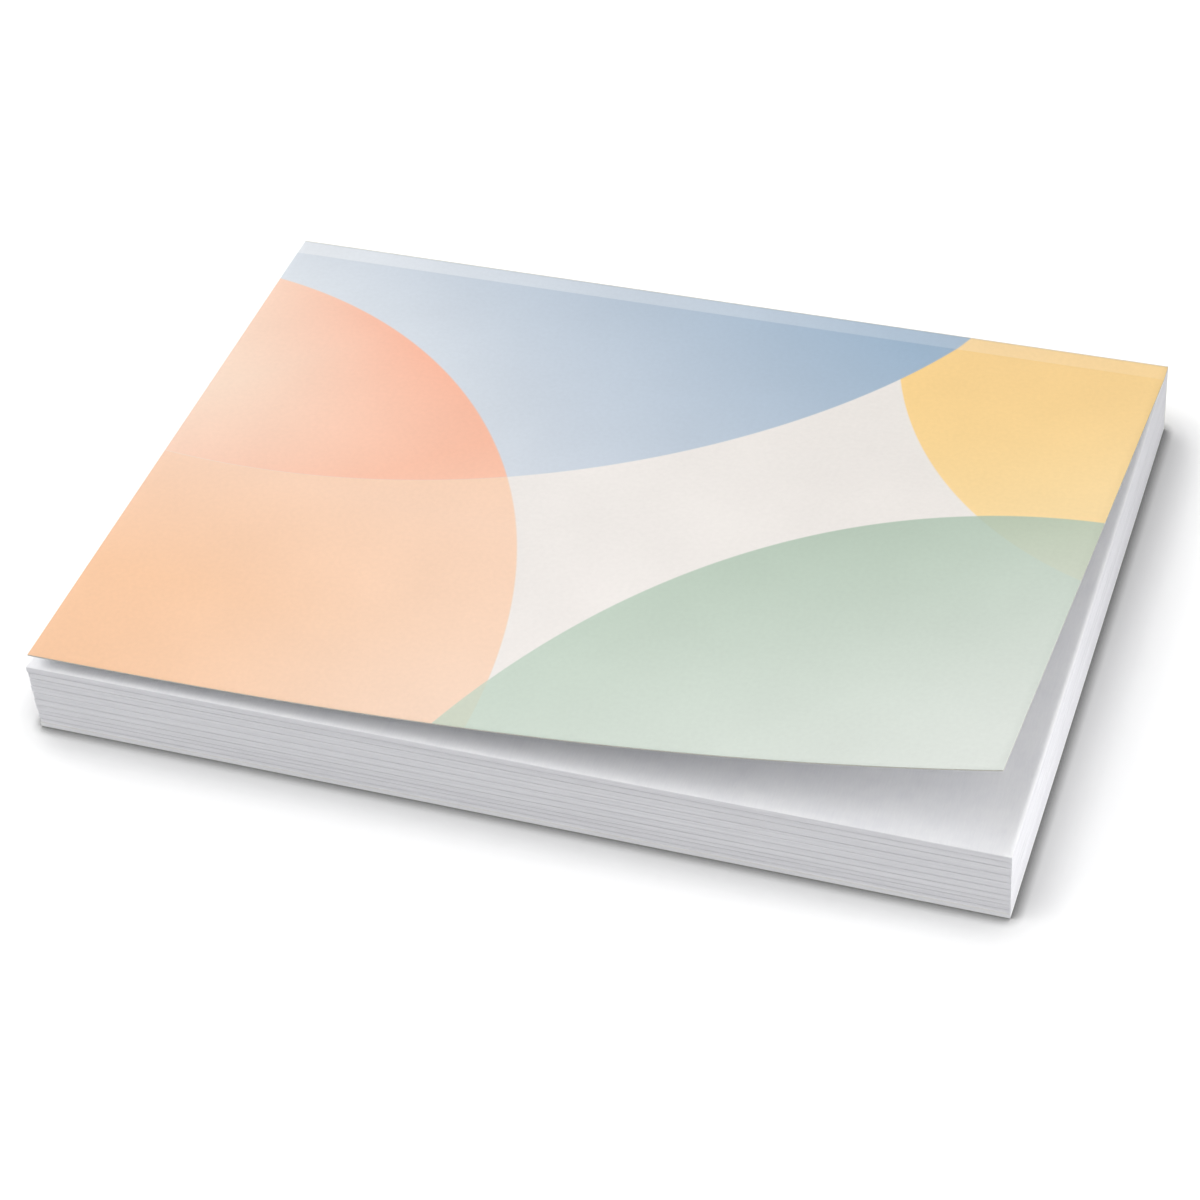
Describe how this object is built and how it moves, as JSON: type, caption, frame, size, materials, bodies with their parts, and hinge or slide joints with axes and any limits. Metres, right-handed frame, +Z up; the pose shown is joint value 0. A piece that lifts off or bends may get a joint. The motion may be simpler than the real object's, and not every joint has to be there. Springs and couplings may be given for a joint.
{
  "type": "glue-bound notepad",
  "caption": "Block of blank sheets on a backing board, glued along one long edge, under a printed card cover that lifts about a crease.",
  "frame": {"origin": "on the surface that the pad lies on, under the middle of its outline with the glue film counted in", "axes": "+X along the glued edge, +Y from the open edge towards the glued edge, +Z up through the sheets"},
  "size_m": [0.1396, 0.102, 0.0262],
  "materials": {
    "board": "uncoated greyboard, lined white",
    "sheets": "uncoated white writing paper",
    "padding_glue": "milky flexible padding glue, satin",
    "cover_card": "matt printed card"
  },
  "bodies": {
    "pad": {"backing_board": "board", "page_block": "sheets", "binding_glue": "padding_glue", "cover_hinge_strip": "cover_card"},
    "cover": {"cover_panel": "cover_card"}
  },
  "joints": [
    {"name": "cover_fold", "type": "hinge", "parent": "pad", "child": "cover", "pos_m": [0, 0.0474, 0.01216], "axis": [-1, 0, 0], "range_deg": [0, 170]}
  ]
}
